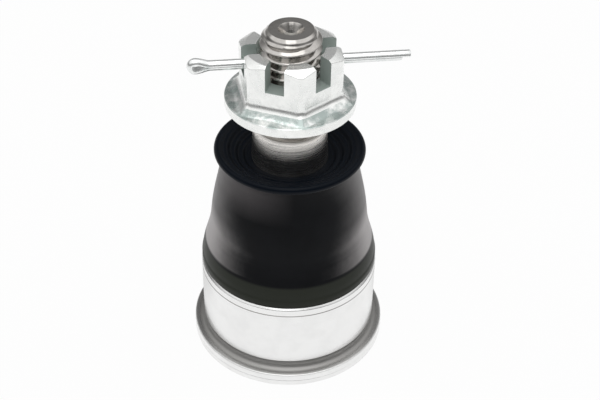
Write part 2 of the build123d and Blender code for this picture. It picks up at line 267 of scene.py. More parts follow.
def end_face():
    """Flat end, then the turning centre: a cone of 60 degrees and a short bore."""
    cone = (CENTRE_R - CENTRE_BORE_R) / np.tan(np.radians(30))
    flat = [(4.9, 0.0), (4.2, 0.0), (3.6, 0.0), (CENTRE_R + 0.02, 0.0)]
    centre = [(CENTRE_R - 0.02, 0.05), (2.6, 0.8), (2.0, 1.84), (CENTRE_BORE_R, cone)]
    bore = [(CENTRE_BORE_R, CENTRE_DEPTH - 0.5), (0.0, CENTRE_DEPTH)]
    return [(r, STUD_TOP_Z - depth) for r, depth in flat + centre + bore]


def shank_profile():
    """Down from the undercut: its fillet, the shoulder, the taper, a curve into the neck, then the ball,
    whose points lie at radius R sin q and height R cos q."""
    fillet = [(UNDERCUT_R, SHOULDER_Z + 0.5), (UNDERCUT_R + 0.15, SHOULDER_Z + 0.12)]
    fillet += [(UNDERCUT_R + 0.5, SHOULDER_Z)]
    shoulder = [(TAPER_TOP_R - 0.5, SHOULDER_Z), (TAPER_TOP_R - 0.15, SHOULDER_Z - 0.12)]
    taper_z = np.concatenate([[SHOULDER_Z - 0.5], np.linspace(SHOULDER_Z - 2.5, TAPER_FOOT_Z, 12)])
    taper = [(taper_radius(z), z) for z in taper_z]
    curve = through([(9.85, 27.6), (8.8, 25.2), (7.4, 23.0), (6.85, 21.0)], 9)
    neck = [(STUD_NECK_R, 18.0), (STUD_NECK_R, 13.0), (STUD_NECK_R, 10.9)]
    q = np.linspace(np.arcsin((STUD_NECK_R + 0.12) / BALL_R), np.pi, 40)
    ball = np.stack([BALL_R * np.sin(q), BALL_R * np.cos(q)], -1)
    ball[-1, 0] = 0.0
    return np.concatenate([fillet, shoulder, taper, curve, neck, ball])


def stud_patches():
    """Thread, end face over it, and everything under it."""
    end = thread_to_profile(STUD_TOP_Z, end_face())
    body = thread_to_profile(THREAD_START_Z, shank_profile())
    return [(grid, False, False) for grid in (thread_grid(), end, body)]


def hole_through(piece, radius, z, reach, material):
    """Bores a round hole along X: takes out a cylinder, y = r cos a and z = height + r sin a."""
    a = np.linspace(0, TURN, 49)[None, :-1]
    x = np.array([-reach, -reach, reach, reach])[:, None]
    r = np.array([0, radius, radius, 0])[:, None]
    grid = np.stack([x + 0 * a, r * np.cos(a), z + r * np.sin(a)], -1)
    tool = solid("hole_tool", [(grid, False, True)], material)
    cut = piece.modifiers.new("hole", "BOOLEAN")
    cut.object, cut.operation, cut.solver = tool, "DIFFERENCE", "EXACT"
    bpy.context.view_layer.update()
    seen = piece.evaluated_get(bpy.context.evaluated_depsgraph_get())
    mesh = bpy.data.meshes.new_from_object(seen)
    piece.modifiers.clear()
    piece.data = mesh
    bpy.data.objects.remove(tool)


# Nut

NUT_SIDES = 6


def nut_columns():
    """Columns over a twelfth of the nut, from a slot's middle to a corner of the hexagon: first sideways
    offsets from the slot's middle plane, close together at its wall, then shares of the way to the corner."""
    from_wall = np.array([SLOT_HALF, 1.4, 0.7, 0.3, 0.14, 0.04, 0.0])
    past_wall = np.array([0.0, 0.03, 0.08, 0.15, 0.3])
    share = np.array([0.12, 0.28, 0.46, 0.64, 0.74, 0.79, 0.83, 0.86, 0.89, 0.92, 0.96, 1.0])
    last = np.full(len(share), SLOT_HALF + past_wall[-1])
    offset = np.concatenate([SLOT_HALF - from_wall, SLOT_HALF + past_wall, last])
    to_corner = np.concatenate([0 * from_wall, 0 * past_wall, share])
    in_slot = np.arange(len(offset)) < len(from_wall)
    return offset, to_corner, in_slot


def nut_angle(r, offset, to_corner):
    """Angle of a column at radius r: arcsin(offset / r), drawn evenly to 30 degrees at the corner."""
    near = np.arcsin(offset[:, None] / r)
    return near * (1 - to_corner[:, None]) + to_corner[:, None] * np.pi / NUT_SIDES


def flat_radii(offset, to_corner):
    """Radius of the flat at each column, apothem / cos(angle), found by repetition: the angle depends on it.
    The second result has the corner turned down to its own radius through a soft step."""
    flat = np.full((len(offset), 1), NUT_APOTHEM)
    for _ in range(8):
        flat = NUT_APOTHEM / np.cos(nut_angle(flat, offset, to_corner))
    flat = flat[:, 0]
    over = flat - NUT_CORNER_R
    eased = -((over - CORNER_SOFT) ** 2) / (4 * CORNER_SOFT)
    cut = np.where(over > CORNER_SOFT, 0, np.where(over < -CORNER_SOFT, over, eased))
    return flat, NUT_CORNER_R + cut


def spots(kind, places):
    """Section points of one kind from (radius, height), each of them one number or one per column."""
    return [(r, z, kind) for r, z in places]


def bend(kind, n, corners):
    """Section points of one kind on a quadratic Bezier arc."""
    return spots(kind, zip(*bezier(corners, n)))


def cone_z(r):
    """Height of the flange's cone at radius r: it falls evenly outwards."""
    return FLANGE_TOP_Z + FLANGE_FALL * (NUT_FLANGE_R - r)


def chamfer_z(r):
    """Height of the crown's chamfer at radius r: it falls outwards at 30 degrees."""
    return NUT_TOP_Z - (r - CROWN_TOP_R) * CROWN_FALL


def flange_section(cone_end):
    """Down the bore's foot, out under the flange, up its rim and in over its cone."""
    foot = [(NUT_BORE_R, BORE_ROW_Z[0]), (NUT_BORE_R, NUT_Z + 0.7)]
    foot += [(r, NUT_Z) for r in (NUT_BORE_R + 0.5, 9.0, 12.0, 14.6)]
    edge_r = NUT_FLANGE_R - 0.35
    low_edge = (NUT_FLANGE_R - 0.3, NUT_Z), (NUT_FLANGE_R, NUT_Z), (NUT_FLANGE_R, NUT_Z + 0.35)
    rim = (NUT_FLANGE_R, FLANGE_TOP_Z - 0.25), (NUT_FLANGE_R, FLANGE_TOP_Z), (edge_r, cone_z(edge_r))
    cone_r = [edge_r * (1 - share) + cone_end * share for share in (0.4, 0.8)]
    cone = spots("under", [(r, cone_z(r)) for r in cone_r])
    return spots("under", foot) + bend("under", 5, low_edge) + bend("under", 5, rim) + cone


def flat_section(cone_end, skirt, flat):
    """Over the hexagon's rolled foot, which leans between two bends, and up the flat to the slots' floor."""
    foot_z, skirt_z = FLANGE_TOP_Z + SKIRT_H, cone_z(skirt)
    lean = (foot_z - skirt_z) / (skirt - flat)
    low_bend = (cone_end, cone_z(cone_end)), (skirt, skirt_z), (skirt - 0.55, skirt_z + 0.55 * lean)
    flat_z = foot_z + 0.95
    high_bend = (flat + 0.75, foot_z - 0.75 * lean), (flat, foot_z), (flat, flat_z)
    wall = [(flat, flat_z * (1 - share) + SLOT_FLOOR_Z * share) for share in (0.35, 0.7, 1.0)]
    return bend("under", 7, low_bend) + bend("under", 9, high_bend) + spots("under", wall)


def crown_section(flat):
    """Up between the slots, in over the crown's chamfer and across its top to the bore."""
    edge_z = chamfer_z(flat)
    wall = [(flat, SLOT_FLOOR_Z * (1 - share) + (edge_z - BEVEL) * share) for share in (0.02, 0.3, 0.65)]
    edge = (flat, edge_z - BEVEL), (flat, edge_z), (flat - BEVEL, edge_z + BEVEL * CROWN_FALL)
    slope_r = [(flat - BEVEL) * (1 - share) + (CROWN_TOP_R + BEVEL) * share for share in (0.3, 0.65)]
    slope = spots("crown", [(r, chamfer_z(r)) for r in slope_r])
    slope_end = (CROWN_TOP_R + BEVEL, NUT_TOP_Z - BEVEL * CROWN_FALL)
    top_bend = slope_end, (CROWN_TOP_R, NUT_TOP_Z), (CROWN_TOP_R - 0.14, NUT_TOP_Z)
    top = spots("crown", [(r, NUT_TOP_Z) for r in (9.8, 9.0, CROWN_BORE_R + 0.5)])
    inner_edge = (CROWN_BORE_R + 0.3, NUT_TOP_Z), (CROWN_BORE_R, NUT_TOP_Z), (CROWN_BORE_R, NUT_TOP_Z - 0.4)
    sides = spots("side", wall) + bend("side", 4, edge)
    return sides + slope + bend("crown", 4, top_bend) + top + bend("crown", 4, inner_edge)


def bore_section():
    """Down the crown's wide bore to the slots' floor, then in to the thread's bore."""
    wide_z = (NUT_TOP_Z - 2.2, NUT_TOP_Z - 4.4, SLOT_FLOOR_Z + 0.05, SLOT_FLOOR_Z)
    wide = [(CROWN_BORE_R, z) for z in wide_z]
    return spots("bore", wide + [(NUT_BORE_R, SLOT_FLOOR_Z)]) + spots("under", [(NUT_BORE_R, BORE_ROW_Z[1])])


def nut_section(offset, to_corner):
    """The nut's section at every column: round the flange, over the hexagon's foot, up the flat, over the
    crown and down inside it. Gives radii and heights, one row per column, and the kind of each point: the
    slots' rounded edges move the kinds side, crown and bore, and leave under where it is."""
    plain, flat = flat_radii(offset, to_corner)
    skirt = plain * (1 + SKIRT_W / NUT_APOTHEM)
    cone_end = np.minimum(skirt + 0.7, NUT_FLANGE_R - 0.36)
    points = flange_section(cone_end) + flat_section(cone_end, skirt, flat)
    points += crown_section(flat) + bore_section()
    radii, heights, kinds = zip(*points)
    r, z = (np.stack([np.broadcast_to(v, flat.shape) for v in values], -1) for values in (radii, heights))
    return r, z, np.array(kinds)[None]


def quarter_drop(distance, radius):
    """Drop of a quarter circle at a distance d from its start: R - sqrt(R^2 - (R - d)^2), none past R."""
    short = np.clip(radius - distance, 0, None)
    return radius - np.sqrt(np.clip(radius**2 - short**2, 0, None))


def nut_grid():
    """Castle nut: its section at each column, with heights stopped at the floor inside a slot and the slots'
    edges and floor corners rounded by quarter circles, mirrored at the corner and repeated for six sides."""
    offset, to_corner, in_slot = nut_columns()
    r, z, kind = nut_section(offset, to_corner)
    past_wall = offset - SLOT_HALF + to_corner * NUT_APOTHEM
    inset = np.where(in_slot, SLOT_EDGE, quarter_drop(past_wall, SLOT_EDGE))[:, None]
    over_floor = z > SLOT_FLOOR_Z
    lowered = np.where(kind == "crown", z - inset, z)
    r = np.where(kind == "side", r - inset, r)
    r = np.where((kind == "bore") & over_floor, r + inset, r)
    floor = SLOT_FLOOR_Z + quarter_drop(SLOT_HALF - offset, SLOT_FILLET)[:, None]
    z = np.where(in_slot[:, None] & over_floor, np.minimum(lowered, floor), lowered)
    a = nut_angle(r, offset, to_corner)
    side = TURN / NUT_SIDES
    a, r, z = np.concatenate([a, side - a[::-1]]), np.concatenate([r, r[::-1]]), np.concatenate([z, z[::-1]])
    turns = np.radians(NUT_TURN) + np.arange(NUT_SIDES)[:, None, None] * side
    a = (a[None] + turns).reshape(-1, r.shape[1])
    return round_z(np.tile(r, (NUT_SIDES, 1)), np.tile(z, (NUT_SIDES, 1)), a)


# Boot

def dish_profile():
    """Dished top from the lip's bead to the stud: the height falls with a power of a sine, and sine rings
    stand on it over part of the way."""
    s = np.linspace(0, 1, 72)[1:]
    r = (LIP_R - LIP_BEAD) * (1 - s) + (taper_radius(CONTACT_Z) + COLLAR_GAP) * s
    fall = (LIP_Z + LIP_BEAD - CONTACT_Z) * np.sin(s * np.pi / 2) ** DISH_POWER
    ringed = np.clip((r - RINGS_FROM_R) / 0.9, 0, 1) * np.clip((RINGS_TO_R - r) / 1.2, 0, 1)
    rings = RING_HEIGHT * np.sin((r - RING_START_R) / RING_PITCH * TURN) * ringed
    return np.stack([r, LIP_Z + LIP_BEAD - fall + rings], -1)


def boot_outline():
    """Outer line from the base ring to the contact with the stud: band, flare, a crease, the curved skirt,
    the lip's half-round bead and the dish."""
    band = [(NECK_R + 1.05, BOOT_FOOT_Z), (BAND_R - 1.0, BOOT_FOOT_Z), (BAND_R - 0.3, BOOT_FOOT_Z + 0.05)]
    band += [(BAND_R, BOOT_FOOT_Z + 0.35), (BAND_R, BOOT_FOOT_Z + 1.1), (BAND_R, BAND_TOP_Z - 0.3)]
    band += [(BAND_R - 0.08, BAND_TOP_Z - 0.06)]
    flare_line = [(BAND_R - 0.2, BAND_TOP_Z + 0.2), (22.03, 11.4), (21.74, 12.7), (CREASE_R, CREASE_Z)]
    flare = through(flare_line, 12)
    lower = [(CREASE_R, CREASE_Z), (20.83, 15.8), (20.42, 17.4), (20.17, 18.5), (19.9, 20.0), (19.64, 22.2)]
    upper = [(19.28, 25.0), (18.7, 28.2), (18.05, 31.2), (17.45, 34.0), (17.1, 36.6), (17.0, 38.9)]
    skirt_line = through(lower + upper, 68)
    q = np.linspace(-np.pi / 2, np.pi / 2, 14)
    under = [(17.1, LIP_Z - LIP_BEAD - 0.25), (17.35, LIP_Z - LIP_BEAD - 0.04)]
    bead = np.stack([LIP_R - LIP_BEAD + LIP_BEAD * np.cos(q), LIP_Z + LIP_BEAD * np.sin(q)], -1)
    return np.concatenate([band, flare, skirt_line[1:], under, bead, dish_profile()])


def boot_inside():
    """Inner line from the contact with the stud down the collar, round its foot, then down the wall."""
    bore = [(taper_radius(z) + COLLAR_GAP, z) for z in (CONTACT_Z, 35.0, COLLAR_FOOT_Z)]
    collar_r = taper_radius(COLLAR_FOOT_Z) + COLLAR_WALL
    collar = [(collar_r, COLLAR_FOOT_Z), (collar_r, 34.0), (collar_r, 36.0), (13.4, 37.2), (15.1, 37.9)]
    upper = [collar[-1], (15.6, 34.0), (16.6, 30.0), (17.4, 26.5), (17.85, 24.0)]
    lower = [(18.3, BOOT_SEAM_Z), (19.1, 16.0), (19.9, 13.0), (BOOT_INNER_R, 12.0)]
    wall = through(upper + lower, 40)
    return np.concatenate([bore, collar, wall[1:], [(BOOT_INNER_R, 9.5), (BOOT_INNER_R, BOOT_FOOT_Z)]])


def boot_halves():
    """The boot's closed section cut at the seam height into a lower and an upper ring. The point nearest to
    that height is moved there, outside along the line and inside straight up or down."""
    outer, inner = boot_outline(), boot_inside()
    k = int(np.argmin(np.abs(outer[:, 1] - BOOT_SEAM_Z)))
    m = int(np.argmin(np.abs(inner[:, 1] - BOOT_SEAM_Z)))
    near = outer[k - 3:k + 4]
    seam_outer = np.array([[np.interp(BOOT_SEAM_Z, near[:, 1], near[:, 0]), BOOT_SEAM_Z]])
    seam_inner = np.array([[inner[m, 0], BOOT_SEAM_Z]])
    lower = np.concatenate([outer[:k], seam_outer, seam_inner, inner[m + 1:]])
    upper = np.concatenate([seam_outer, outer[k + 1:], inner[:m], seam_inner])
    return lower, upper


# Split pin

def pin_path():
    """Middle line of the wire's flat side: in along the upper leg, round the eye, which is a half circle, and
    back along the lower leg. Between leg and eye the height follows 3s^2 - 2s^3."""
    bend, leg = -(PIN_EYE_X - PIN_R - PIN_EYE_HALF), -(PIN_EYE_X - PIN_EYE_L - PIN_EYE_HALF)
    s = np.linspace(0, 1, 15)[1:, None]
    ease = 3 * s**2 - 2 * s**3
    upper = np.stack([np.linspace(PIN_LONG, leg, 30), np.full(30, PIN_GAP)], -1)
    swell = np.concatenate([leg + (bend - leg) * s, PIN_GAP + (PIN_EYE_HALF - PIN_GAP) * ease], 1)
    q = np.linspace(np.pi / 2, 3 * np.pi / 2, 19)[1:-1, None]
    eye = np.concatenate([bend + PIN_EYE_HALF * np.cos(q), PIN_EYE_HALF * np.sin(q)], 1)
    back = swell[::-1] * [1, -1]
    lower = np.stack([np.linspace(leg, PIN_SHORT, 29), np.full(29, -PIN_GAP)], -1)
    return np.concatenate([upper, swell, eye, back, lower])


def pin_grid():
    """Half-round section with eased edges carried along the wire's line, its round side away from the other
    leg. At each end it shrinks to a point in four steps, set back from the tip as a blunt dome."""
    path = pin_path()
    ahead = np.gradient(path, axis=0)
    ahead /= np.linalg.norm(ahead, axis=1, keepdims=True)
    out = np.stack([ahead[:, 1], -ahead[:, 0]], -1)
    eased, flat_half, middle = 0.16, 0.94 * PIN_R, 0.42 * PIN_R
    q = np.linspace(eased, np.pi - eased, 17)
    wide = np.concatenate([PIN_R * np.cos(q), np.linspace(-flat_half, flat_half, 9)])
    high = np.concatenate([PIN_R * np.sin(q), np.zeros(9)])
    end_size, end_push = np.array([0.0, 0.8, 0.93, 1.0]), np.array([0.0, 0.0, 0.07, 0.2])
    between = len(path) - 2
    size = np.concatenate([end_size, np.ones(between), end_size[::-1]])
    push = np.concatenate([end_push, np.zeros(between), -end_push[::-1]])
    index = np.concatenate([[0] * 4, np.arange(1, between + 1), [between + 1] * 4])
    p = path[index] + ahead[index] * push[:, None]
    rise = middle + (high[None] - middle) * size[:, None]
    side_view = p[:, None] + out[index][:, None] * rise[..., None]
    return np.stack([side_view[..., 0], wide[None] * size[:, None], side_view[..., 1] + PIN_Z], -1)


# Shader parts

def group(name, inputs, outputs):
    """Empty shader node group with named number inputs and the outputs given as (name, socket type)."""
    g = bpy.data.node_groups.new(name, "ShaderNodeTree")
    for label, value in inputs:
        s = g.interface.new_socket(label, in_out="INPUT", socket_type="NodeSocketFloat")
        s.default_value = value
    for label, kind in outputs:
        g.interface.new_socket(label, in_out="OUTPUT", socket_type=kind)
    return g, g.nodes.new("NodeGroupInput"), g.nodes.new("NodeGroupOutput")


def node(tree, kind, **settings):
    """New node with some of its settings."""
    n = tree.nodes.new(kind)
    for key, value in settings.items():
        setattr(n, key, value)
    return n


def calc(tree, op, a, b=None, clamp=False):
    """Math node whose inputs are numbers or sockets."""
    n = node(tree, "ShaderNodeMath", operation=op, use_clamp=clamp)
    for socket, value in zip(n.inputs, (a, b)):
        if value is None:
            continue
        if isinstance(value, (int, float)):
            socket.default_value = value
        else:
            tree.links.new(value, socket)
    return n.outputs[0]


def product(tree, a, b, clamp=False):
    """Math node that multiplies."""
    return calc(tree, "MULTIPLY", a, b, clamp)


def rises(tree, value, start, slope):
    """Mask (value - start) * slope, kept between 0 and 1."""
    return product(tree, calc(tree, "SUBTRACT", value, start), slope, clamp=True)


def falls(tree, value, end, slope):
    """Mask (end - value) * slope, kept between 0 and 1."""
    return product(tree, calc(tree, "SUBTRACT", end, value), slope, clamp=True)


def object_coordinates(tree):
    """Socket of the shaded point on Object coordinates, in metres."""
    return node(tree, "ShaderNodeTexCoord").outputs["Object"]


def object_point(tree):
    """Its x, y and z, each a socket."""
    split = node(tree, "ShaderNodeSeparateXYZ")
    tree.links.new(object_coordinates(tree), split.inputs[0])
    return split.outputs


def off_axis(tree, x, y):
    """Distance from Z: the root of x^2 + y^2."""
    return calc(tree, "SQRT", calc(tree, "ADD", product(tree, x, x), product(tree, y, y)))


def from_origin(tree):
    """Distance of the shaded point from the origin, in metres."""
    length = node(tree, "ShaderNodeVectorMath", operation="LENGTH")
    tree.links.new(object_coordinates(tree), length.inputs[0])
    return length.outputs["Value"]


def noise(tree, vector, scale, detail, rough):
    """Noise of a vector, with its scale from a socket."""
    n = node(tree, "ShaderNodeTexNoise")
    n.inputs["Detail"].default_value = detail
    n.inputs["Roughness"].default_value = rough
    tree.links.new(vector, n.inputs["Vector"])
    tree.links.new(scale, n.inputs["Scale"])
    return n.outputs["Fac"]


def relief(tree, height, strength):
    """Normal of a bump whose full height is a tenth of a millimetre."""
    bump = node(tree, "ShaderNodeBump")
    bump.inputs["Distance"].default_value = 0.1 * MM
    tree.links.new(strength, bump.inputs["Strength"])
    tree.links.new(height, bump.inputs["Height"])
    return bump.outputs[0]


def mixed(tree, factor, a, b):
    """Colour between a and b."""
    n = node(tree, "ShaderNodeMix", data_type="RGBA")
    tree.links.new(factor, n.inputs["Factor"])
    for socket, value in ((n.inputs[6], a), (n.inputs[7], b)):
        if isinstance(value, tuple):
            socket.default_value = (*value, 1.0)
        else:
            tree.links.new(value, socket)
    return n.outputs[2]


def spread(tree, factor, low, high):
    """Number from low to high as factor goes from 0 to 1."""
    n = node(tree, "ShaderNodeMapRange")
    n.inputs["To Min"].default_value, n.inputs["To Max"].default_value = low, high
    tree.links.new(factor, n.inputs["Value"])
    return n.outputs[0]


def smooth_step(tree, value, start, end, low=0.0, high=1.0):
    """Smooth change from low to high as a value goes from start to end."""
    n = node(tree, "ShaderNodeMapRange", interpolation_type="SMOOTHSTEP")
    for label, number in (("From Min", start), ("From Max", end), ("To Min", low), ("To Max", high)):
        n.inputs[label].default_value = number
    tree.links.new(value, n.inputs["Value"])
    return n.outputs[0]


def place_group(tree, made, **values):
    """A shared group placed in a material with its own values."""
    n = node(tree, "ShaderNodeGroup", node_tree=made)
    for label, value in values.items():
        n.inputs[label].default_value = value
    return n


# Shared finishes

def turned_marks_group():
    """Fine rings left by a lathe: noise that changes with radius and height, and a little round the axis."""
    outputs = [("Normal", "NodeSocketVector"), ("Lines", "NodeSocketFloat")]
    g, gi, go = group("turned_marks", [("Lines", 9000.0), ("Depth", 0.15)], outputs)
    x, y, z = object_point(g)
    join = node(g, "ShaderNodeCombineXYZ")
    g.links.new(off_axis(g, x, y), join.inputs[0])
    g.links.new(z, join.inputs[1])
    g.links.new(product(g, calc(g, "ARCTAN2", y, x), 0.02 * MM), join.inputs[2])
    lines = noise(g, join.outputs[0], gi.outputs["Lines"], 4.0, 0.6)
    g.links.new(relief(g, lines, gi.outputs["Depth"]), go.inputs["Normal"])
    g.links.new(lines, go.inputs["Lines"])
    return g


def blotches_group():
    """Soft patches of handling and oxide: noise sharpened to a mask that covers about a given share."""
    inputs = [("Scale", 200.0), ("Cover", 0.5), ("Edge", 4.0)]
    g, gi, go = group("blotches", inputs, [("Mask", "NodeSocketFloat")])
    big = noise(g, object_coordinates(g), gi.outputs["Scale"], 5.0, 0.62)
    lifted = calc(g, "SUBTRACT", big, calc(g, "SUBTRACT", 1.0, gi.outputs["Cover"]))
    mask = calc(g, "ADD", product(g, lifted, gi.outputs["Edge"]), 0.5, clamp=True)
    g.links.new(mask, go.inputs["Mask"])
    return g


def grain_group():
    """Fine even grain for moulded or plated skins."""
    g, gi, go = group("grain", [("Scale", 4000.0), ("Depth", 0.1)], [("Normal", "NodeSocketVector")])
    fine = noise(g, object_coordinates(g), gi.outputs["Scale"], 2.0, 0.6)
    g.links.new(relief(g, fine, gi.outputs["Depth"]), go.inputs["Normal"])
    return g


def slots_group():
    """Mask of the nut's milled slots: near one of three planes through the axis, over a floor height."""
    inputs = [("Half", SLOT_HALF * MM), ("Floor", SLOT_FLOOR_Z * MM)]
    g, gi, go = group("slots", inputs, [("Mask", "NodeSocketFloat")])
    x, y, z = object_point(g)
    nearest = 1.0
    for a in np.radians(NUT_TURN + np.array([0.0, 60.0, 120.0])):
        across = calc(g, "SUBTRACT", product(g, x, float(np.sin(a))), product(g, y, float(np.cos(a))))
        nearest = calc(g, "MINIMUM", calc(g, "ABSOLUTE", across), nearest)
    margin = 0.01 * MM
    beside = calc(g, "LESS_THAN", nearest, calc(g, "ADD", gi.outputs["Half"], margin))
    over = calc(g, "GREATER_THAN", z, calc(g, "SUBTRACT", gi.outputs["Floor"], margin))
    g.links.new(product(g, beside, over), go.inputs["Mask"])
    return g


def painted_light_masks_group():
    """Where painted light goes on the boot, as masks of height and side. Skirt is its outside over the
    crease, which gets a painted sheen, Foot the low part of that and Brow the upper part. Shoulder is the top
    on the left, which gets painted light, and Flare lies under the crease, which gets a painted reflection."""
    outputs = [(label, "NodeSocketFloat") for label in ("Skirt", "Flare", "Shoulder", "Foot", "Brow")]
    g, gi, go = group("painted_light_masks", [("Crease", (CREASE_Z - 0.1) * MM), ("Lip", (LIP_Z - 1.1) * MM)], outputs)
    x, y, z = object_point(g)
    over = rises(g, z, gi.outputs["Crease"], 1500.0)
    outside = calc(g, "GREATER_THAN", off_axis(g, x, y), 16.6 * MM)
    outside = product(g, calc(g, "LESS_THAN", z, gi.outputs["Lip"]), outside)
    top = calc(g, "ADD", product(g, calc(g, "SUBTRACT", z, 37.5 * MM), 130.0), 1.0, clamp=True)
    left = falls(g, x, -1.0 * MM, 95.0)
    g.links.new(product(g, over, outside), go.inputs["Skirt"])
    g.links.new(product(g, over, falls(g, z, 23.0 * MM, 110.0)), go.inputs["Foot"])
    g.links.new(falls(g, z, gi.outputs["Crease"], 1500.0), go.inputs["Flare"])
    g.links.new(product(g, rises(g, z, 21.5 * MM, 220.0), outside), go.inputs["Brow"])
    g.links.new(product(g, product(g, top, left), outside), go.inputs["Shoulder"])
    return g


MARKS, BLOTCHES, GRAIN = turned_marks_group(), blotches_group(), grain_group()
ZINC_METALLIC = 0.76


# Materials

def finish_of(name, metallic):
    """New material, its tree and its shader."""
    m = bpy.data.materials.new(name)
    m.use_nodes = True
    shader = m.node_tree.nodes["Principled BSDF"]
    shader.inputs["Metallic"].default_value = metallic
    return m, m.node_tree, shader


def parts_of(m):
    """A finished material's tree, its shader, and what now gives its colour and its roughness."""
    shader = m.node_tree.nodes["Principled BSDF"]
    colour, gloss = (shader.inputs[label].links[0].from_socket for label in ("Base Color", "Roughness"))
    return m.node_tree, shader, colour, gloss


def turned_steel(
        name, light, dark, rough, depth=(0.12, 0.12), change_z=0.0, cover=0.4, metallic=1.0, polish=1.0):
    """Lathe-turned steel: ring marks in bump and roughness, and soft blotches in colour. Over a height the
    marks have another depth, and the roughness is scaled by polish."""
    m, tree, shader = finish_of(name, metallic)
    marks = place_group(tree, MARKS)
    over = calc(tree, "GREATER_THAN", object_point(tree)[Z], change_z * MM)
    tree.links.new(spread(tree, over, *depth), marks.inputs["Depth"])
    patches = place_group(tree, BLOTCHES, Scale=180.0, Cover=cover, Edge=3.0)
    tree.links.new(mixed(tree, patches.outputs["Mask"], light, dark), shader.inputs["Base Color"])
    gloss = product(tree, spread(tree, marks.outputs["Lines"], *rough), spread(tree, over, 1.0, polish))
    tree.links.new(gloss, shader.inputs["Roughness"])
    tree.links.new(marks.outputs["Normal"], shader.inputs["Normal"])
    return m


def tone_band(m, low, high, reach, tone, softness=0.4, rough=0.0):
    """Another tone between two heights and inside a radius, soft at each end, and at least so rough there."""
    tree, shader, plain, gloss = parts_of(m)
    x, y, z = object_point(tree)
    slope = 1 / (softness * MM)
    between = product(tree, rises(tree, z, low * MM, slope), falls(tree, z, high * MM, slope))
    share = product(tree, between, falls(tree, off_axis(tree, x, y), reach * MM, slope))
    tree.links.new(mixed(tree, share, plain, tone), shader.inputs["Base Color"])
    tree.links.new(calc(tree, "MAXIMUM", gloss, product(tree, share, rough)), shader.inputs["Roughness"])


def zinc_plate(name, light, dark, rough, cover=0.36, stained=(-99.0, 99.0)):
    """Bright zinc plating: fine grain with drifting grey-green patches, faint outside a range of heights."""
    m, tree, shader = finish_of(name, ZINC_METALLIC)
    skin = place_group(tree, GRAIN, Scale=5000.0, Depth=0.12)
    patches = place_group(tree, BLOTCHES, Scale=300.0, Cover=cover, Edge=4.5)
    z = object_point(tree)[Z]
    in_range = calc(tree, "LESS_THAN", z, stained[1] * MM)
    in_range = product(tree, in_range, calc(tree, "GREATER_THAN", z, stained[0] * MM))
    share = product(tree, patches.outputs["Mask"], spread(tree, in_range, 0.1, 1.0))
    tree.links.new(mixed(tree, share, light, dark), shader.inputs["Base Color"])
    tree.links.new(spread(tree, patches.outputs["Mask"], *rough), shader.inputs["Roughness"])
    tree.links.new(skin.outputs["Normal"], shader.inputs["Normal"])
    return m


def dull_slots(m, tone, rough, metallic):
    """Makes the nut's plating dull in its milled slots."""
    tree, shader, plain, gloss = parts_of(m)
    mask = place_group(tree, slots_group()).outputs["Mask"]
    tree.links.new(mixed(tree, mask, plain, tone), shader.inputs["Base Color"])
    tree.links.new(calc(tree, "MAXIMUM", gloss, product(tree, mask, rough)), shader.inputs["Roughness"])
    tree.links.new(spread(tree, mask, ZINC_METALLIC, metallic), shader.inputs["Metallic"])


def moulded(name, light, dark, rough, specular, grain=0.12):
    """Moulded rubber or plastic: fine grain, faint dusty patches."""
    m, tree, shader = finish_of(name, 0.0)
    shader.inputs["Specular IOR Level"].default_value = specular
    skin = place_group(tree, GRAIN, Scale=3500.0, Depth=grain)
    patches = place_group(tree, BLOTCHES, Scale=120.0, Cover=0.45, Edge=2.5)
    tree.links.new(mixed(tree, patches.outputs["Mask"], light, dark), shader.inputs["Base Color"])
    tree.links.new(spread(tree, patches.outputs["Mask"], *rough), shader.inputs["Roughness"])
    tree.links.new(skin.outputs["Normal"], shader.inputs["Normal"])
    return m


def painted_sheen(m, sheen_colour, flare, shoulder):
    """Paints a sheen into the boot's colour where it turns away from the eye, in uneven patches, thinner on
    the brow and least on the flare. The flare gets a painted reflection of its own tone, and the left
    shoulder painted light."""
    tree, shader, plain, _ = parts_of(m)
    painted_light_masks = place_group(tree, painted_light_masks_group()).outputs
    uneven = place_group(tree, BLOTCHES, Scale=75.0, Cover=0.5, Edge=1.6).outputs["Mask"]
    # Painted sheen: the colour lightens towards the sheen colour where the surface faces away from the eye.
    edge = node(tree, "ShaderNodeLayerWeight")
    edge.inputs["Blend"].default_value = 0.5
    facing = calc(tree, "ADD", edge.outputs["Facing"], product(tree, painted_light_masks["Foot"], 0.12))
    facing = calc(tree, "ADD", facing, product(tree, calc(tree, "SUBTRACT", uneven, 0.5), 0.13))
    turned_away = smooth_step(tree, facing, 0.27, 0.8)
    share = calc(tree, "ADD", product(tree, painted_light_masks["Skirt"], 0.92), 0.08)
    share = product(tree, share, calc(tree, "SUBTRACT", 1.0, product(tree, painted_light_masks["Brow"], 0.6)))
    colour = mixed(tree, product(tree, turned_away, share), plain, sheen_colour)
    # Painted reflection on the flare, and painted light on the left shoulder.
    colour = mixed(tree, product(tree, painted_light_masks["Flare"], 0.75), colour, flare)
    colour = mixed(tree, product(tree, painted_light_masks["Shoulder"], 0.8), colour, shoulder)
    tree.links.new(colour, shader.inputs["Base Color"])


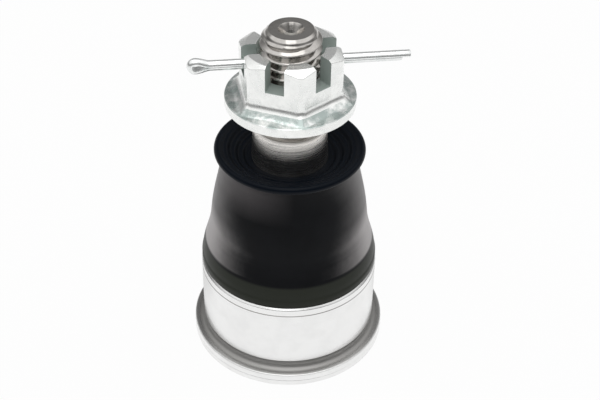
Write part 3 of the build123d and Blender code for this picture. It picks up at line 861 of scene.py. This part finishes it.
def socket_finish():
    """Bright satin steel with painted shade on the flange seat, in the relief groove and along a fine line
    under the rim.
    """
    light, dark = (0.88, 0.88, 0.875), (0.82, 0.82, 0.815)
    m = turned_steel(
        "socket_steel", light, dark, rough=(0.2, 0.3), depth=(0.4, 0.15), change_z=GROOVE_TOP_Z + 0.4)
    # Painted shade: the flange seat, the relief groove and the fine line under the rim are darkened in
    # colour.
    seat_painted_shade, groove_painted_shade, rim_line_painted_shade = (0.46, 0.455, 0.445), (0.33, 0.325, 0.315), (0.3, 0.29, 0.28)
    tone_band(m, SEAT_Z - 0.9, SEAT_Z + 1.1, reach=FLANGE_R, tone=seat_painted_shade, softness=0.6)
    tone_band(m, SEAT_Z - 0.4, GROOVE_TOP_Z + 0.3, reach=PRESS_R + 1.5, tone=groove_painted_shade, rough=0.4)
    tone_band(m, RIM_LINE_Z - 0.2, RIM_LINE_Z + 0.2, reach=PRESS_R + 3.4, tone=rim_line_painted_shade, softness=0.12)
    return m


def stud_finish():
    """Darker turned steel, polished over the shoulder: a painted highlight at the taper's top, painted shade
    in the end centre.
    """
    m = turned_steel(
        "stud_steel", (0.62, 0.598, 0.572), (0.43, 0.412, 0.388), rough=(0.22, 0.32), depth=(0.55, 0.08),
        change_z=SHOULDER_Z, cover=0.45, metallic=0.97, polish=0.45)
    # Painted highlight: the taper's top is lightened in colour.
    tone_band(m, SHOULDER_Z - 5.0, SHOULDER_Z + 0.4, reach=12.0, tone=(0.97, 0.94, 0.9), softness=1.2)
    # Painted shade: the deep part of the end centre is darkened in colour.
    tone_band(m, STUD_TOP_Z - 7.3, STUD_TOP_Z - 1.4, reach=2.4, tone=(0.3, 0.3, 0.29), softness=0.5)
    return m


def nut_finish():
    """Zinc plating, stained on the flange and the hexagon's foot, dull in the slots."""
    light, dark = (0.99, 0.997, 0.98), (0.44, 0.505, 0.485)
    stained = (FLANGE_TOP_Z - 0.1, FLANGE_TOP_Z + 1.4)
    m = zinc_plate("nut_zinc", light, dark, rough=(0.15, 0.28), cover=0.55, stained=stained)
    dull_slots(m, (0.42, 0.48, 0.45), rough=0.55, metallic=0.3)
    return m


def boot_finish():
    """Black rubber with a painted sheen in uneven patches, and plain blue-black on the lip and in the dish.
    """
    light, dark = (0.004, 0.0045, 0.006), (0.002, 0.0023, 0.0032)
    m = moulded("boot_rubber", light, dark, rough=(0.34, 0.42), specular=0.1)
    # Painted sheen on the skirt, a painted reflection on the flare and painted light on the left shoulder.
    painted_sheen(m, sheen_colour=(0.44, 0.42, 0.42), flare=(0.034, 0.038, 0.029), shoulder=(0.1, 0.092, 0.095))
    # The lip and the dish keep the plain rubber colour, without the painted sheen.
    plain_blue_black, lip_top = (0.0012, 0.0034, 0.0075), LIP_Z + 2 * LIP_BEAD
    tone_band(m, LIP_Z - LIP_BEAD, lip_top, reach=LIP_R + 1.5, tone=plain_blue_black)
    tone_band(m, CONTACT_Z - 1.0, lip_top, reach=LIP_R - 1.8, tone=plain_blue_black)
    return m


socket_steel, stud_steel, nut_zinc, boot_rubber = socket_finish(), stud_finish(), nut_finish(), boot_finish()
pin_zinc = zinc_plate("pin_zinc", (0.95, 0.965, 0.96), (0.8, 0.84, 0.83), rough=(0.22, 0.32))
hidden_steel = turned_steel("hidden_steel", (0.55, 0.56, 0.57), (0.42, 0.43, 0.44), rough=(0.35, 0.45))
bearing_plastic = moulded(
    "bearing_plastic", (0.75, 0.74, 0.7), (0.66, 0.65, 0.6), rough=(0.4, 0.5), specular=0.4)


# Pieces

housing = solid("socket_shell", [(socket_grid(), True, True)], socket_steel)
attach(housing, "socket")
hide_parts("socket_housing")

stud = solid("threaded_stud", stud_patches(), stud_steel)
hole_through(stud, PIN_HOLE_R, PIN_Z, reach=9.0, material=stud_steel)
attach(stud, "stud")
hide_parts("ball_stud")

nut = solid("slotted_nut", [(nut_grid(), True, True)], nut_zinc, sharp=24.0)
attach(nut, "stud")
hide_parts("castle_nut")

pin = solid("split_pin_wire", [(pin_grid(), False, True)], pin_zinc)
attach(pin, "split_pin")
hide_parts("cotter_pin")

lower_half, upper_half = boot_halves()
skirt = solid("boot_skirt", [(turned(lower_half), True, True)], boot_rubber, sharp=40.0)
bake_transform(skirt)
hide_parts("dust_boot")

lip = solid("boot_lip", [(turned(upper_half), True, True)], boot_rubber, sharp=40.0)
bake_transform(lip)
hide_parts("dust_boot")

HIDDEN_FINISHES = {
    "upper_bearing": bearing_plastic,
    "lower_bearing": bearing_plastic,
    "preload_washer": hidden_steel,
    "closing_plate": hidden_steel,
    "boot_base_ring": hidden_steel,
    "boot_neck_ring": hidden_steel,
}
for node_name, material in HIDDEN_FINISHES.items():
    node_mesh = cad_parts[node_name].data
    node_mesh.materials.clear()
    node_mesh.materials.append(material)


# Stage, light and camera, in metres unless a name or note says millimetres

FLOOR_HALF = 1.6
NEAR_SKY = ((0.0, 0.16), (0.3, 0.1), (0.62, 0.16), (0.74, 0.34), (0.86, 1.0), (1.0, 1.0))
FAR_SKY = (
    (0.0, 0.3), (0.16, 0.28), (0.36, 0.25), (0.62, 0.19), (0.76, 0.24), (0.86, 0.29), (0.95, 0.6), (1.0, 1.0))
WHITE = (1.0, 1.0, 1.0, 1.0)


def floor_finish():
    """White floor that the camera sees almost white with a faint soft shadow. Gloss sees it white near the
    object and dim far off, with a painted shadow close behind the object."""
    m = bpy.data.materials.new("floor_white")
    m.use_nodes = True
    tree = m.node_tree
    tree.nodes.clear()
    out = node(tree, "ShaderNodeOutputMaterial")
    matt = node(tree, "ShaderNodeBsdfDiffuse")
    matt.inputs["Color"].default_value = (0.82, 0.82, 0.82, 1)
    glow = node(tree, "ShaderNodeEmission")
    glow.inputs["Color"].default_value = WHITE
    rays = node(tree, "ShaderNodeLightPath")
    away = from_origin(tree)
    # Painted shadow: gloss sees the floor darker close behind the object.
    behind = smooth_step(tree, object_point(tree)[Y], -0.004, 0.02)
    close = smooth_step(tree, away, 0.09, 0.04)
    painted_shadow = product(tree, product(tree, behind, close), -0.62)
    lit = product(tree, smooth_step(tree, away, 0.2, 0.45, 0.97, 0.12), calc(tree, "ADD", painted_shadow, 1.0))
    gloss = product(tree, rays.outputs["Is Glossy Ray"], lit)
    share = calc(tree, "MAXIMUM", gloss, product(tree, rays.outputs["Is Camera Ray"], 0.95))
    mix = node(tree, "ShaderNodeMixShader")
    for source, socket in zip((share, matt.outputs[0], glow.outputs[0]), mix.inputs):
        tree.links.new(source, socket)
    tree.links.new(mix.outputs[0], out.inputs[0])
    return m


def stage_floor():
    """Square floor at the socket's foot."""
    corners = [(x * FLOOR_HALF, y * FLOOR_HALF, BASE_Z * MM) for x, y in ((-1, -1), (1, -1), (1, 1), (-1, 1))]
    mesh = bpy.data.meshes.new("floor")
    mesh.from_pydata(corners, [], [(0, 1, 2, 3)])
    mesh.materials.append(floor_finish())
    floor = bpy.data.objects.new("floor", mesh)
    bpy.context.scene.collection.objects.link(floor)


def grey_ramp(tree, value, stops):
    """Grey level read off a ramp of (position, level)."""
    ramp = node(tree, "ShaderNodeValToRGB")
    first, last = ramp.color_ramp.elements[0], ramp.color_ramp.elements[1]
    first.position, last.position = stops[0][0], stops[-1][0]
    first.color, last.color = (*[stops[0][1]] * 3, 1), (*[stops[-1][1]] * 3, 1)
    for at, grey in stops[1:-1]:
        ramp.color_ramp.elements.new(at).color = (grey, grey, grey, 1)
    tree.links.new(value, ramp.inputs[0])
    return ramp.outputs[0]


def studio_world():
    """Pale room by direction, white to the camera. Gloss sees a near side, dark at eye level and white
    overhead, and a grey far side. Each is a ramp over the direction's height. The near one is read higher to
    both sides, and the far one is lifted there over a low height. The change between them lies a little
    across the line of sight."""
    world = bpy.data.worlds.new("studio")
    bpy.context.scene.world = world
    world.use_nodes = True
    tree = world.node_tree
    tree.nodes.clear()
    out = node(tree, "ShaderNodeOutputWorld")
    place, split = node(tree, "ShaderNodeTexCoord"), node(tree, "ShaderNodeSeparateXYZ")
    tree.links.new(place.outputs["Generated"], split.inputs[0])
    x, y, z = split.outputs
    aside = calc(tree, "ABSOLUTE", x)
    near_sky = grey_ramp(tree, calc(tree, "ADD", z, product(tree, aside, 0.42)), NEAR_SKY)
    beyond = calc(tree, "SUBTRACT", aside, 0.22, clamp=True)
    raised = calc(tree, "SUBTRACT", z, 0.22, clamp=True)
    lift = product(tree, product(tree, beyond, raised), 5.0, clamp=True)
    far_sky = mixed(tree, lift, grey_ramp(tree, z, FAR_SKY), WHITE[:3])
    far_side = smooth_step(tree, calc(tree, "ADD", y, product(tree, x, 0.25)), 0.28, 0.5)
    room, white = node(tree, "ShaderNodeBackground"), node(tree, "ShaderNodeBackground")
    tree.links.new(mixed(tree, far_side, near_sky, far_sky), room.inputs[0])
    white.inputs[0].default_value = WHITE
    rays = node(tree, "ShaderNodeLightPath")
    mix = node(tree, "ShaderNodeMixShader")
    for source, socket in zip((rays.outputs["Is Camera Ray"], room.outputs[0], white.outputs[0]), mix.inputs):
        tree.links.new(source, socket)
    tree.links.new(mix.outputs[0], out.inputs[0])


def soft_lamp(name, place, aim, size, watts):
    """Square area lamp at a place, facing a point."""
    data = bpy.data.lights.new(name, "AREA")
    data.shape, data.size, data.energy = "SQUARE", size, watts
    lamp = bpy.data.objects.new(name, data)
    lamp.location = place
    lamp.rotation_euler = (Vector(aim) - Vector(place)).to_track_quat("-Z", "Y").to_euler()
    bpy.context.scene.collection.objects.link(lamp)


def studio_camera(azimuth, elevation, roll, distance, side, height, lens):
    """Camera that looks at a point beside the axis from an azimuth and elevation, rolled a little about its
    own line of sight. Angles are in degrees; the distance, sideways shift and height are in millimetres."""
    a, e, q = np.radians([azimuth, elevation, roll])
    right = np.array([np.cos(a), np.sin(a), 0.0])
    back = np.array([np.sin(a) * np.cos(e), -np.cos(a) * np.cos(e), np.sin(e)])
    up = np.cross(back, right)
    x_axis = right * np.cos(q) + up * np.sin(q)
    y_axis = up * np.cos(q) - right * np.sin(q)
    place = right * side + [0, 0, height] + back * distance
    data = bpy.data.cameras.new("camera")
    data.lens, data.sensor_width = lens, 36.0
    data.clip_start, data.clip_end = 0.01, 20.0
    camera = bpy.data.objects.new("camera", data)
    pose = np.column_stack([x_axis, y_axis, back, place * MM])
    camera.matrix_world = Matrix(pose.tolist() + [[0, 0, 0, 1]])
    bpy.context.scene.collection.objects.link(camera)
    bpy.context.scene.camera = camera


stage_floor()
studio_world()
soft_lamp("top_lamp", (0.0, 0.0, 1.1), aim=(0, 0, 0.02), size=0.8, watts=2.2)
soft_lamp("near_lamp", (-0.1, -0.66, 0.86), aim=(0, 0, 0.04), size=0.6, watts=1.0)
studio_camera(azimuth=-8.0, elevation=37.93, roll=1.03, distance=289.7, side=2.69, height=24.29, lens=69.0)
bpy.context.scene.view_settings.view_transform = "Standard"
